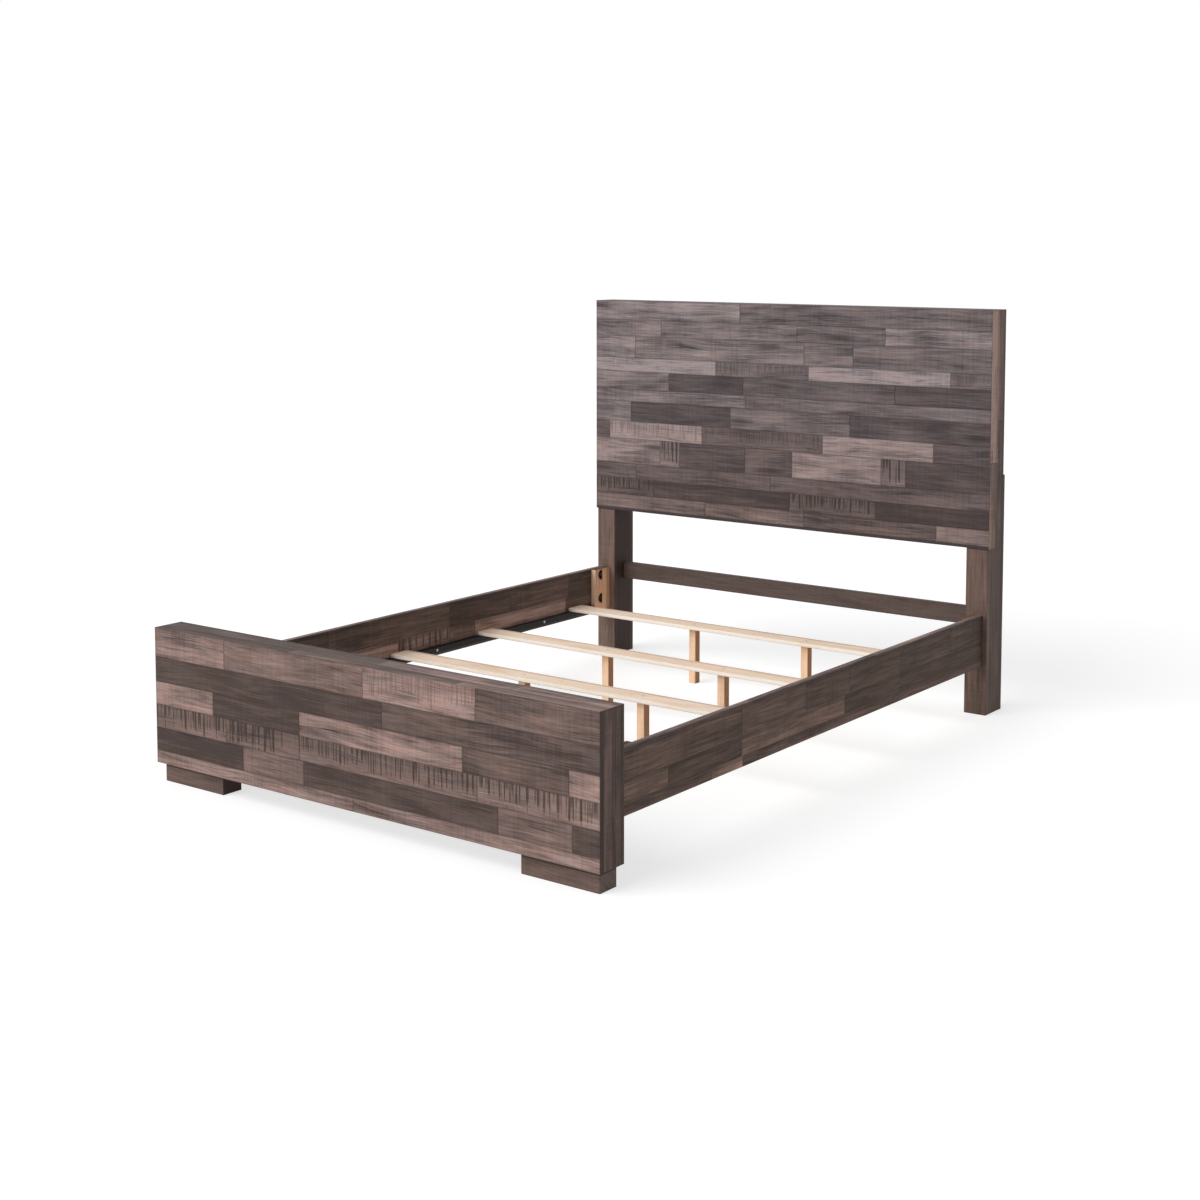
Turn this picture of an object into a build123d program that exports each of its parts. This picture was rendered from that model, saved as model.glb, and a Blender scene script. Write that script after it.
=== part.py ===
from build123d import *
import os

# A queen-size bed frame: a tall planked headboard on two legs, a low planked
# footboard on two block feet, two side rails with ledgers, and three loose slats,
# each on two support legs.
# +X is to the right seen from the foot end, +Y runs to the head, +Z is up, and the
# origin is on the floor at the middle of the bed. All sizes are in millimetres.

# Overall size
OVERALL_WIDTH = 1651.0
OVERALL_LENGTH = 2286.0
OVERALL_HEIGHT = 1371.6

# Hollow panels: mitred boards round an inner frame of stiles and a rib
PANEL_BOARD = 15.0
STILE_WIDTH = 70.0
RIB_WIDTH = 40.0
HEADBOARD_DEPTH = 104.0
HEADBOARD_BOTTOM = 568.0
HEADBOARD_BACK_PANEL = 9.0
FOOTBOARD_DEPTH = 100.0
FOOTBOARD_TOP = 465.0

# Block feet under the footboard
FOOT_HEIGHT = 58.0
FOOT_LENGTH = 252.0
FOOT_DEPTH = 70.0
FOOT_SIDE_INSET = 15.0
FOOT_FRONT_INSET = 19.0
FOOT_SCREW_INSET = 50.0
FOOT_COUNTERBORE = 30.0

# Headboard legs: a post under the panel and a strip behind the post and the panel
LEG_WIDTH = 80.0
LEG_SETBACK = 4.0
STRIP_THICKNESS = 20.0
STRIP_OVERLAP = 244.0
STRIP_ROUND = 8.0
STRIP_BOLT_EDGE = 60.0
STRIP_SCREW_LENGTH = 60.0
STRIP_SCREW_BOTTOM = 110.0
STRIP_SCREW_TOP_EDGE = 90.0

# Cross rail between the posts
CROSS_RAIL_BOTTOM = 292.0
CROSS_RAIL_HEIGHT = 63.0
CROSS_RAIL_THICKNESS = 22.0
CROSS_RAIL_SETBACK = 58.0
DOWEL_DIAMETER = 10.0
DOWEL_REACH = 20.0
DOWEL_SPACING = 32.0

# Side rails, the ledgers that carry the slats, and the end blocks
RAIL_BOTTOM = 168.0
RAIL_HEIGHT = 175.0
RAIL_THICKNESS = 20.0
RAIL_INSET = 16.0
LEDGER_WIDTH = 20.0
LEDGER_HEIGHT = 20.0
LEDGER_RISE = 14.0
LEDGER_SCREW_PITCH = 295.0
LEDGER_SCREW_END = 108.0
LEDGER_SCREW_COVER = 6.0
BLOCK_THICKNESS = 20.0
BLOCK_LENGTH = 91.0

# Rail bolts, drawn up by a nut and a half-moon washer in a round-ended pocket of the end block
BOLT_DIAMETER = 8.0
BOLT_EDGE = 25.0
BOLT_TAIL = 6.0
BOLT_BITE = 26.0
INSERT_DIAMETER = 12.0
INSERT_LENGTH = 30.0
POCKET_WALL = 46.0
POCKET_RADIUS = 20.0
POCKET_STRAIGHT = 6.0
WASHER_THICKNESS = 3.0
WASHER_RADIUS = 17.0
WASHER_EDGE = 1.5
NUT_WIDTH = 13.0
NUT_HEIGHT = 6.5

# Bolts that hold the headboard panel to the strips
PANEL_BOLT_HEAD_DIAMETER = 16.0
PANEL_BOLT_HEAD_HEIGHT = 5.0
PANEL_BOLT_RECESS = 6.0
PANEL_BOLT_BITE = 22.0
PANEL_INSERT_LENGTH = 25.0

# Slats and their support legs
SLAT_WIDTH = 80.0
SLAT_THICKNESS = 13.0
SLAT_END_GAP = 1.5
HEAD_SLAT_SETBACK = 195.0
HEAD_TO_MIDDLE_SLAT = 525.0
MIDDLE_TO_FOOT_SLAT = 446.0
SUPPORT_LEG = 28.0
SUPPORT_LEG_SPACING = 470.0
SUPPORT_SCREW_LENGTH = 70.0

# Countersunk wood screws
SCREW_DIAMETER = 4.5
SCREW_HEAD_DIAMETER = 9.0
SCREW_TIP_COVER = 2.0

# Bolts, screws, inserts and dowels are drawn with this many flat sides
FASTENER_SIDES = 10

# Eased edges and clearances
EASE = 1.5
FIT = 0.1
BORE_CLEARANCE = 0.5
RECESS_CLEARANCE = 1.0
HOLE_DEPTH_CLEARANCE = 1.0

# Positions that follow from the sizes
half_width = OVERALL_WIDTH / 2
foot_front = -OVERALL_LENGTH / 2
head_back = OVERALL_LENGTH / 2
footboard_back = foot_front + FOOTBOARD_DEPTH
strip_front = head_back - STRIP_THICKNESS
headboard_front = strip_front - HEADBOARD_DEPTH
leg_front = headboard_front + LEG_SETBACK
leg_outer = half_width - LEG_SETBACK
leg_inner = leg_outer - LEG_WIDTH
leg_middle = (leg_outer + leg_inner) / 2
strip_top = HEADBOARD_BOTTOM + STRIP_OVERLAP
cross_rail_front = leg_front + CROSS_RAIL_SETBACK
rail_outer = leg_outer - RAIL_INSET
rail_inner = rail_outer - RAIL_THICKNESS
rail_top = RAIL_BOTTOM + RAIL_HEIGHT
ledger_inner = rail_inner - LEDGER_WIDTH
ledger_bottom = RAIL_BOTTOM + LEDGER_RISE
ledger_top = ledger_bottom + LEDGER_HEIGHT
block_inner = rail_inner - BLOCK_THICKNESS
slat_top = ledger_top + SLAT_THICKNESS
slat_end = rail_inner - SLAT_END_GAP
bolt_radius = BOLT_DIAMETER / 2
head_slat_middle = leg_front - HEAD_SLAT_SETBACK
middle_slat_middle = head_slat_middle - HEAD_TO_MIDDLE_SLAT
foot_slat_middle = middle_slat_middle - MIDDLE_TO_FOOT_SLAT

SIDES = {"left": -1, "right": 1}
# Each rail end: the face that it butts against, and the way along the rail from there
RAIL_ENDS = {"head": (leg_front, -1), "foot": (footboard_back, 1)}
BOLT_HEIGHTS = (rail_top - BOLT_EDGE, ledger_top + BOLT_EDGE)
SLATS = {
    "head": head_slat_middle,
    "middle": middle_slat_middle,
    "foot": foot_slat_middle,
}


def board(x_limits, y_limits, z_limits):
    """A square-edged board between three pairs of limits."""
    limits = [sorted(pair) for pair in (x_limits, y_limits, z_limits)]
    size = [high - low for low, high in limits]
    corner = [low for low, high in limits]
    return Pos(*corner) * Box(*size, align=(Align.MIN, Align.MIN, Align.MIN))


def long_edges(shape, axis):
    """The straight edges of a board that run along one axis."""
    return shape.edges().filter_by(axis)


def group(solids):
    """Separate solids that make one node."""
    return Compound(children=list(solids))


def mitred_board(origin, length_direction, inward, length, width):
    """A board with its wide face outside and all four edges mitred at 45 degrees."""
    face = Plane(origin=origin, x_dir=length_direction, z_dir=inward)
    return extrude(face * Rectangle(length, width), PANEL_BOARD, taper=45)


def panel_boards(front, back, bottom, top):
    """The six outer boards of a hollow panel, as wide as the bed."""
    depth = back - front
    height = top - bottom
    middle_y = (front + back) / 2
    middle_z = (bottom + top) / 2
    along = (1, 0, 0)
    across = (0, 1, 0)
    return {
        "front_board": mitred_board((0, front, middle_z), along, (0, 1, 0), OVERALL_WIDTH, height),
        "back_board": mitred_board((0, back, middle_z), along, (0, -1, 0), OVERALL_WIDTH, height),
        "top_board": mitred_board((0, middle_y, top), along, (0, 0, -1), OVERALL_WIDTH, depth),
        "bottom_board": mitred_board((0, middle_y, bottom), along, (0, 0, 1), OVERALL_WIDTH, depth),
        "left_end_board": mitred_board((-half_width, middle_y, middle_z), across, (1, 0, 0), depth, height),
        "right_end_board": mitred_board((half_width, middle_y, middle_z), across, (-1, 0, 0), depth, height),
    }


def inner_frame(front, back, bottom, top):
    """Two stiles and a centre rib that fill the depth of a hollow panel."""
    stile_outer = half_width - PANEL_BOARD
    stile_inner = stile_outer - STILE_WIDTH
    frame = {"centre_rib": board((-RIB_WIDTH / 2, RIB_WIDTH / 2), (front, back), (bottom, top))}
    for side, sign in SIDES.items():
        x_limits = (sign * stile_inner, sign * stile_outer)
        frame[f"{side}_stile"] = board(x_limits, (front, back), (bottom, top))
    return frame


def round_outline(radius):
    """A fastener's round outline in flat sides, with the radius measured to the flats."""
    return RegularPolygon(radius, FASTENER_SIDES, major_radius=False)


def rod(radius, low, high):
    """A round rod about the z axis between two heights."""
    return extrude(Plane.XY.offset(low) * round_outline(radius), high - low)


def screw(length, clearance=0.0):
    """A countersunk screw from z = 0 downwards; the clearance makes it the screw's hole."""
    shank_radius = SCREW_DIAMETER / 2 + clearance
    head_radius = SCREW_HEAD_DIAMETER / 2 + clearance
    head = extrude(round_outline(head_radius), head_radius - shank_radius, dir=(0, 0, -1), taper=45)
    return head + rod(shank_radius, -length - clearance, 0)


def tube(outer_radius, inner_radius, low, high):
    """A round sleeve about the z axis between two heights."""
    return rod(outer_radius, low, high) - rod(inner_radius, low, high)


# Rail bolt joint, built on the end face of a rail: z runs along the rail, x to the bed's middle
def rail_bolt():
    tail = POCKET_WALL + WASHER_THICKNESS + NUT_HEIGHT + BOLT_TAIL
    return rod(bolt_radius, -BOLT_BITE, tail)


def rail_insert():
    return tube(INSERT_DIAMETER / 2, bolt_radius + FIT, -INSERT_LENGTH, 0)


def rail_insert_hole():
    return rod(INSERT_DIAMETER / 2 + FIT, -INSERT_LENGTH, 0)


def bolt_pocket():
    """A pocket through the block's thickness, flat towards the joint and round at the far end."""
    round_end = Pos(POCKET_STRAIGHT, 0) * split(Circle(POCKET_RADIUS), Plane.YZ, keep=Keep.TOP)
    straight = Rectangle(POCKET_STRAIGHT, 2 * POCKET_RADIUS, align=(Align.MIN, Align.CENTER))
    open_face = Plane(origin=(BLOCK_THICKNESS / 2, 0, POCKET_WALL), x_dir=(0, 0, 1), z_dir=(1, 0, 0))
    return extrude(open_face * (straight + round_end), -BLOCK_THICKNESS)


def block_cut():
    """The bolt's bore and the pocket that it ends in."""
    return rod(bolt_radius + BORE_CLEARANCE, 0, POCKET_WALL) + bolt_pocket()


def half_moon_washer():
    """A half disc whose straight edge lies just under the open face of the pocket."""
    straight_edge = BLOCK_THICKNESS / 2 - WASHER_EDGE
    seat = Plane.XY.offset(POCKET_WALL)
    half_disc = split(Circle(WASHER_RADIUS), Plane.YZ, keep=Keep.BOTTOM)
    outline = Pos(straight_edge, 0) * half_disc - round_outline(bolt_radius + FIT)
    return extrude(seat * outline, WASHER_THICKNESS)


def rail_nut():
    seat = Plane.XY.offset(POCKET_WALL + WASHER_THICKNESS)
    hexagon = RegularPolygon(NUT_WIDTH / 2, 6, major_radius=False)
    outline = hexagon - round_outline(bolt_radius + FIT)
    return extrude(seat * outline, NUT_HEIGHT)


def rail_joint_places(side, end):
    """The two bolt positions at one end of one rail."""
    sign = SIDES[side]
    face, along = RAIL_ENDS[end]
    bolt_x = sign * (rail_inner - BLOCK_THICKNESS / 2)
    directions = {"x_dir": (-sign, 0, 0), "z_dir": (0, along, 0)}
    return [Plane(origin=(bolt_x, face, z), **directions) for z in BOLT_HEIGHTS]


def all_rail_joint_places():
    return [place for side in SIDES for end in RAIL_ENDS for place in rail_joint_places(side, end)]


# Bolt that holds the headboard panel, built on the strip's back face: z points backwards
panel_bolt_seat = -PANEL_BOLT_RECESS
stile_face = -STRIP_THICKNESS - HEADBOARD_BACK_PANEL


def panel_bolt():
    head = rod(PANEL_BOLT_HEAD_DIAMETER / 2, panel_bolt_seat, panel_bolt_seat + PANEL_BOLT_HEAD_HEIGHT)
    return head + rod(bolt_radius, stile_face - PANEL_BOLT_BITE, panel_bolt_seat)


def panel_bolt_hole():
    recess = rod(PANEL_BOLT_HEAD_DIAMETER / 2 + RECESS_CLEARANCE, panel_bolt_seat, 0)
    return recess + rod(bolt_radius + BORE_CLEARANCE, stile_face, panel_bolt_seat)


def panel_insert():
    return tube(INSERT_DIAMETER / 2, bolt_radius + FIT, stile_face - PANEL_INSERT_LENGTH, stile_face)


def panel_insert_hole():
    return rod(INSERT_DIAMETER / 2 + FIT, stile_face - PANEL_INSERT_LENGTH, stile_face)


def panel_bolt_places(sign):
    heights = (HEADBOARD_BOTTOM + STRIP_BOLT_EDGE, strip_top - STRIP_BOLT_EDGE)
    return [Plane(origin=(sign * leg_middle, head_back, z), z_dir=(0, 1, 0)) for z in heights]


def strip_screw_places(sign):
    heights = (STRIP_SCREW_BOTTOM, HEADBOARD_BOTTOM - STRIP_SCREW_TOP_EDGE)
    return [Plane(origin=(sign * leg_middle, head_back, z), z_dir=(0, 1, 0)) for z in heights]


def dowel_places(sign):
    """The dowels of one end of the cross rail, on the post's inner face, pointing outwards."""
    middle_y = cross_rail_front + CROSS_RAIL_THICKNESS / 2
    middle_z = CROSS_RAIL_BOTTOM + CROSS_RAIL_HEIGHT / 2
    heights = (middle_z - DOWEL_SPACING / 2, middle_z + DOWEL_SPACING / 2)
    return [Plane(origin=(sign * leg_inner, middle_y, z), z_dir=(sign, 0, 0)) for z in heights]


def dowel():
    return rod(DOWEL_DIAMETER / 2, -DOWEL_REACH, DOWEL_REACH)


def dowel_hole():
    reach = DOWEL_REACH + HOLE_DEPTH_CLEARANCE
    return rod(DOWEL_DIAMETER / 2 + FIT, -reach, reach)


def ledger_screw_places(side):
    """Screw positions along one ledger, set out from the head end."""
    sign = SIDES[side]
    height = (ledger_bottom + ledger_top) / 2
    first = leg_front - LEDGER_SCREW_END
    count = int((first - footboard_back) // LEDGER_SCREW_PITCH) + 1
    rows = [first - number * LEDGER_SCREW_PITCH for number in range(count)]
    return [Plane(origin=(sign * ledger_inner, y, height), z_dir=(-sign, 0, 0)) for y in rows]


def foot_screw_places(sign):
    """Screw positions under one foot, at the bottom of their counterbores."""
    foot_outer = half_width - FOOT_SIDE_INSET
    columns = (foot_outer - FOOT_SCREW_INSET, foot_outer - FOOT_LENGTH + FOOT_SCREW_INSET)
    middle_y = foot_front + FOOT_FRONT_INSET + FOOT_DEPTH / 2
    return [Plane(origin=(sign * x, middle_y, FOOT_COUNTERBORE), z_dir=(0, 0, -1)) for x in columns]


ledger_screw_length = LEDGER_WIDTH + RAIL_THICKNESS - LEDGER_SCREW_COVER
foot_screw_length = FOOT_HEIGHT - FOOT_COUNTERBORE + PANEL_BOARD - SCREW_TIP_COVER
nodes = {}


def make_headboard():
    """The hollow panel, with its back panel let in between the outer boards."""
    panel_back_face = strip_front
    virtual_back = panel_back_face + PANEL_BOARD
    boards = panel_boards(headboard_front, virtual_back, HEADBOARD_BOTTOM, OVERALL_HEIGHT)
    del boards["back_board"]
    in_front_of_legs = board(
        (-half_width, half_width),
        (headboard_front, panel_back_face),
        (HEADBOARD_BOTTOM, OVERALL_HEIGHT),
    )
    for name, piece in boards.items():
        nodes[f"headboard_{name}"] = piece & in_front_of_legs
    inside_x = half_width - PANEL_BOARD
    inside_z = (HEADBOARD_BOTTOM + PANEL_BOARD, OVERALL_HEIGHT - PANEL_BOARD)
    back_panel_front = panel_back_face - HEADBOARD_BACK_PANEL
    back_panel = board((-inside_x, inside_x), (back_panel_front, panel_back_face), inside_z)
    frame = inner_frame(headboard_front + PANEL_BOARD, back_panel_front, *inside_z)
    for side, sign in SIDES.items():
        places = panel_bolt_places(sign)
        back_panel -= [place * panel_bolt_hole() for place in places]
        frame[f"{side}_stile"] -= [place * panel_insert_hole() for place in places]
    nodes["headboard_back_panel"] = back_panel
    for name, piece in frame.items():
        nodes[f"headboard_{name}"] = piece


def make_headboard_legs():
    """Posts under the panel, strips behind them, and the cross rail doweled between the posts."""
    cross_rail = board(
        (-leg_inner, leg_inner),
        (cross_rail_front, cross_rail_front + CROSS_RAIL_THICKNESS),
        (CROSS_RAIL_BOTTOM, CROSS_RAIL_BOTTOM + CROSS_RAIL_HEIGHT),
    )
    cross_rail = chamfer(long_edges(cross_rail, Axis.X), EASE)
    for side, sign in SIDES.items():
        x_limits = (sign * leg_inner, sign * leg_outer)
        post = board(x_limits, (leg_front, strip_front), (0, HEADBOARD_BOTTOM))
        front_edges = long_edges(post, Axis.Z).group_by(Axis.Y)[0]
        post = chamfer(front_edges, EASE)
        strip = board(x_limits, (strip_front, head_back), (0, strip_top))
        top_back_edge = long_edges(strip, Axis.X).group_by(Axis.Z)[-1].sort_by(Axis.Y)[-1]
        strip = fillet(top_back_edge, STRIP_ROUND)
        screw_holes = [place * screw(STRIP_SCREW_LENGTH, FIT) for place in strip_screw_places(sign)]
        dowel_holes = [place * dowel_hole() for place in dowel_places(sign)]
        post -= screw_holes + dowel_holes
        post -= [place * rail_insert_hole() for place in rail_joint_places(side, "head")]
        strip -= screw_holes + [place * panel_bolt_hole() for place in panel_bolt_places(sign)]
        cross_rail -= dowel_holes
        nodes[f"headboard_{side}_post"] = post
        nodes[f"headboard_{side}_strip"] = strip
    nodes["headboard_cross_rail"] = cross_rail


def make_footboard():
    """The hollow panel, mitred all round, on two block feet."""
    boards = panel_boards(foot_front, footboard_back, FOOT_HEIGHT, FOOTBOARD_TOP)
    frame = inner_frame(
        foot_front + PANEL_BOARD,
        footboard_back - PANEL_BOARD,
        FOOT_HEIGHT + PANEL_BOARD,
        FOOTBOARD_TOP - PANEL_BOARD,
    )
    foot_y = (foot_front + FOOT_FRONT_INSET, foot_front + FOOT_FRONT_INSET + FOOT_DEPTH)
    foot_outer = half_width - FOOT_SIDE_INSET
    for side, sign in SIDES.items():
        insert_holes = [place * rail_insert_hole() for place in rail_joint_places(side, "foot")]
        boards["back_board"] -= insert_holes
        frame[f"{side}_stile"] -= insert_holes
        foot = board((sign * (foot_outer - FOOT_LENGTH), sign * foot_outer), foot_y, (0, FOOT_HEIGHT))
        foot = chamfer(long_edges(foot, Axis.Z), EASE)
        places = foot_screw_places(sign)
        screw_holes = [place * screw(foot_screw_length, FIT) for place in places]
        counterbore_radius = SCREW_HEAD_DIAMETER / 2 + RECESS_CLEARANCE
        counterbores = [place * rod(counterbore_radius, 0, FOOT_COUNTERBORE) for place in places]
        boards["bottom_board"] -= screw_holes
        nodes[f"footboard_{side}_foot"] = foot - (screw_holes + counterbores)
    for name, piece in {**boards, **frame}.items():
        nodes[f"footboard_{name}"] = piece


def make_side_rails():
    """Rails with their end blocks, and the ledgers between the blocks."""
    rail_y = (footboard_back, leg_front)
    ledger_y = (footboard_back + BLOCK_LENGTH, leg_front - BLOCK_LENGTH)
    for side, sign in SIDES.items():
        rail = board((sign * rail_inner, sign * rail_outer), rail_y, (RAIL_BOTTOM, rail_top))
        rail = chamfer(long_edges(rail, Axis.Y).group_by(Axis.Z)[-1], EASE)
        ledger = board((sign * ledger_inner, sign * rail_inner), ledger_y, (ledger_bottom, ledger_top))
        screw_holes = [place * screw(ledger_screw_length, FIT) for place in ledger_screw_places(side)]
        nodes[f"{side}_side_rail"] = rail - screw_holes
        nodes[f"{side}_ledger"] = ledger - screw_holes
        for end, (face, along) in RAIL_ENDS.items():
            block = board(
                (sign * block_inner, sign * rail_inner),
                (face, face + along * BLOCK_LENGTH),
                (ledger_bottom, rail_top - EASE),
            )
            cuts = [place * block_cut() for place in rail_joint_places(side, end)]
            nodes[f"{side}_{end}_end_block"] = block - cuts


def make_slats():
    """Loose slats, each with two support legs screwed on from above."""
    for name, middle in SLATS.items():
        y_limits = (middle - SLAT_WIDTH / 2, middle + SLAT_WIDTH / 2)
        slat = board((-slat_end, slat_end), y_limits, (ledger_top, slat_top))
        slat = chamfer(long_edges(slat, Axis.X), EASE)
        screws = []
        for side, sign in SIDES.items():
            leg_x = sign * SUPPORT_LEG_SPACING / 2
            leg = board(
                (leg_x - SUPPORT_LEG / 2, leg_x + SUPPORT_LEG / 2),
                (middle - SUPPORT_LEG / 2, middle + SUPPORT_LEG / 2),
                (0, ledger_top),
            )
            leg = chamfer(long_edges(leg, Axis.Z), EASE)
            place = Pos(leg_x, middle, slat_top)
            screw_hole = place * screw(SUPPORT_SCREW_LENGTH, FIT)
            slat -= screw_hole
            nodes[f"{name}_slat_{side}_leg"] = leg - screw_hole
            screws.append(place * screw(SUPPORT_SCREW_LENGTH))
        nodes[f"{name}_slat"] = slat
        nodes[f"{name}_slat_screws"] = group(screws)


def make_fasteners():
    """The fasteners of the frame, each kind in one group."""
    signs = SIDES.values()
    nodes["headboard_bolts"] = group(
        place * panel_bolt() for sign in signs for place in panel_bolt_places(sign)
    )
    nodes["headboard_bolt_inserts"] = group(
        place * panel_insert() for sign in signs for place in panel_bolt_places(sign)
    )
    nodes["headboard_strip_screws"] = group(
        place * screw(STRIP_SCREW_LENGTH) for sign in signs for place in strip_screw_places(sign)
    )
    nodes["headboard_cross_rail_dowels"] = group(
        place * dowel() for sign in signs for place in dowel_places(sign)
    )
    nodes["footboard_foot_screws"] = group(
        place * screw(foot_screw_length) for sign in signs for place in foot_screw_places(sign)
    )
    for side in SIDES:
        nodes[f"{side}_ledger_screws"] = group(
            place * screw(ledger_screw_length) for place in ledger_screw_places(side)
        )
    nodes["rail_bolts"] = group(place * rail_bolt() for place in all_rail_joint_places())
    nodes["rail_bolt_inserts"] = group(place * rail_insert() for place in all_rail_joint_places())
    nodes["rail_washers"] = group(place * half_moon_washer() for place in all_rail_joint_places())
    nodes["rail_nuts"] = group(place * rail_nut() for place in all_rail_joint_places())


make_headboard()
make_headboard_legs()
make_footboard()
make_side_rails()
make_slats()
make_fasteners()

os.makedirs("parts", exist_ok=True)
for name, shape in nodes.items():
    export_step(shape, f"parts/{name}.step")
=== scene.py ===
import math
import random

import bmesh
import bpy
from mathutils import Matrix, Vector


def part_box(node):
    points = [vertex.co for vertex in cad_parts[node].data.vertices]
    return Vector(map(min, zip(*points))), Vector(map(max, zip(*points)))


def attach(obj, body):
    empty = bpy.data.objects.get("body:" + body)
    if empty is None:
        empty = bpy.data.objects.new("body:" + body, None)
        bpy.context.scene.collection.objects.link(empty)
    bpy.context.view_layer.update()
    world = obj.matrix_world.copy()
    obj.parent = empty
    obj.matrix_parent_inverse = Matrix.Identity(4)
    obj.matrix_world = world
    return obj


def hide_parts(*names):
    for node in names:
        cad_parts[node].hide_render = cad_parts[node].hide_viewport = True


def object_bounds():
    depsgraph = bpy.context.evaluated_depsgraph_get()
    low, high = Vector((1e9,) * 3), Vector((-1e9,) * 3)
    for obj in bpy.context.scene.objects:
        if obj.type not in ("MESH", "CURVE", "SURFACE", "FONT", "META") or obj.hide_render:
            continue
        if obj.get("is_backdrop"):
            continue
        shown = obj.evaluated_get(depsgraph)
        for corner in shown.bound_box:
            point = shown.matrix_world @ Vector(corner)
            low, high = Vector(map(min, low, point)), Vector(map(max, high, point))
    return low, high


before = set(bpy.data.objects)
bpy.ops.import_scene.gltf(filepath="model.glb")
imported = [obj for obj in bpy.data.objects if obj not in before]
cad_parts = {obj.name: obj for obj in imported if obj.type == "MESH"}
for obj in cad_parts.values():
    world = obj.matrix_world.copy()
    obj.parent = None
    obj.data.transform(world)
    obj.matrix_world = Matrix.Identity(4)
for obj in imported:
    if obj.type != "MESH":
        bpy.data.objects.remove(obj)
cad_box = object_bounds()

# Units, axes, and the six ways that a face can look, each an axis and a sign
MM = 0.001
X, Y, Z = 0, 1, 2
DIRECTIONS = (Vector((1, 0, 0)), Vector((0, 1, 0)), Vector((0, 0, 1)))
LEFT, RIGHT = (X, -1), (X, 1)
FRONT, BACK = (Y, -1), (Y, 1)
UNDER, TOP = (Z, -1), (Z, 1)

# Rounded edges: plain boards in three steps, copies of CAD shapes in two and at sharp edges only
SEAM_ROUND = 0.6 * MM
BOARD_ROUND = 1.5 * MM
BACK_PANEL_ROUND = 0.5 * MM
LEG_ROUND = 0.8 * MM
BLOCK_ROUND = 0.6 * MM
NUT_ROUND = 0.4 * MM
BOARD_STEPS = 3
COPY_STEPS = 2
FLAT_ANGLE = math.radians(1)
SHARP_ANGLE = math.radians(40)

# Points closer than this are one point
BOARD_MERGE = 0.01 * MM
FASTENER_MERGE = 0.001 * MM

# A face looks one way where its normal has at least this much of the direction
LOOKS_ALONG = 0.7
LIES_FLAT = 0.9

# Plank tones: 0 is the dark colour of the wood and 1 its light one; the strip along the headboard's bottom
# is dark all over
BOTTOM_STRIP, DEEP, SOOT, DARK, DUSK, MID = -0.2, 0.0, 0.02, 0.1, 0.22, 0.33
FAIR, SOFT, LIGHT, PALE, PALEST = 0.46, 0.62, 0.76, 0.94, 1.0

# How strong a plank's saw marks are
UNSAWN, FAINT, SAWN = 0.0, 0.5, 1.0

# Chance: how far a plank's tone may be from the written one, and where its grain may start
CHANCE_SEED = 11
TONE_SCATTER = 0.03
GRAIN_STARTS = 400

# How light the planks of each board are beside these tones, and how brown, from 0 for grey to 1
HEADBOARD_FINISH = (1.0, 0.1)
HEADBOARD_END_FINISH = (1.2, 0.8)
FOOTBOARD_FINISH = (0.74, 0.68)
FOOTBOARD_END_FINISH = (0.55, 0.8)
RAIL_OUTER_FINISH = (0.68, 1.15)
RAIL_INNER_FINISH = (0.85, 1.1)
RAIL_CAP_FINISH = (1.0, 0.5)

# Tone and brown of the boards that are one piece of wood, and of those of their faces that differ
BACK_PANEL_LOOK = (DUSK, 0.5)
POST_LOOKS = {"left": (SOFT, 0.9), "right": (FAIR, 0.9)}
STRIP_LOOK = (MID, 0.7)
CROSS_RAIL_LOOK = (DUSK, 0.4)
FOOT_LOOK = (FAIR, 0.8)
# The feet's outer faces are paler, a painted highlight
FOOT_OUTER_PAINTED_LIGHT = (PALE, 0.4)
LEDGER_LOOK = (MID, 0.5)
BLOCK_LOOK = (PALE, 0.9)
# The end blocks' narrow ends are paler, a painted highlight
BLOCK_END_PAINTED_LIGHT = (PALEST, 0.1)
SLAT_LOOK = (PALE, 0.5)
# The slats' front and back edges are paler, a painted highlight
SLAT_EDGE_PAINTED_LIGHT = (PALE, 0.0)
SLAT_LEG_LOOK = (PALE, 1.0)
# A dark look: painted shade on the feet's tops and inner faces, the posts' inner faces and the slat legs'
# sides, and a dark stain on the end blocks' tops
DARK_LOOK = (DEEP, 1.0)

# How far the top is darkened: on a foot a painted shadow line under the footboard, on an end block a dark
# stain
FOOT_PAINTED_SHADOW = 12 * MM
BLOCK_STAINS = {"left": 1 * MM, "right": 8 * MM}

# Rows of planks from the top down: a row's height, then its planks from left to right, each with
# its length and tone and perhaps saw marks. Heights and lengths are in millimetres, and the last of
# each runs to the board's edge. A row may end with how much browner than its board it is.
HEADBOARD_ROWS = (
    (71, ((655, SOFT), (995, MID))),
    (62, ((305, FAIR), (590, FAIR), (355, MID), (400, SOFT))),
    (82, ((185, SOFT), (740, FAIR), (200, MID), (525, MID))),
    (52, ((550, PALE), (395, MID, FAINT), (555, PALE), (150, MID, FAINT))),
    (67, ((340, FAIR), (330, DARK), (620, DUSK), (360, DARK))),
    (47, ((680, FAIR), (970, MID))),
    (77, ((165, FAIR), (450, DARK), (500, MID), (535, DARK))),
    (67, ((65, DUSK), (425, PALE, FAINT), (515, DUSK, FAINT), (435, SOFT), (210, DUSK)), 0.2),
    (94, (
        (300, SOFT), (90, FAIR, SAWN), (290, DARK), (200, DUSK), (360, SOFT), (95, MID, SAWN), (315, DARK),
    ), 0.2),
    (58, ((190, DUSK), (600, DUSK), (860, DUSK)), 0.2),
    (63, ((270, DUSK, SAWN), (600, SOOT), (350, DUSK, SAWN), (430, SOOT)), 0.3),
    (53, ((505, MID), (425, MID), (525, DUSK), (195, FAIR)), 0.35),
    (10, ((1650, BOTTOM_STRIP),)),
)
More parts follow.
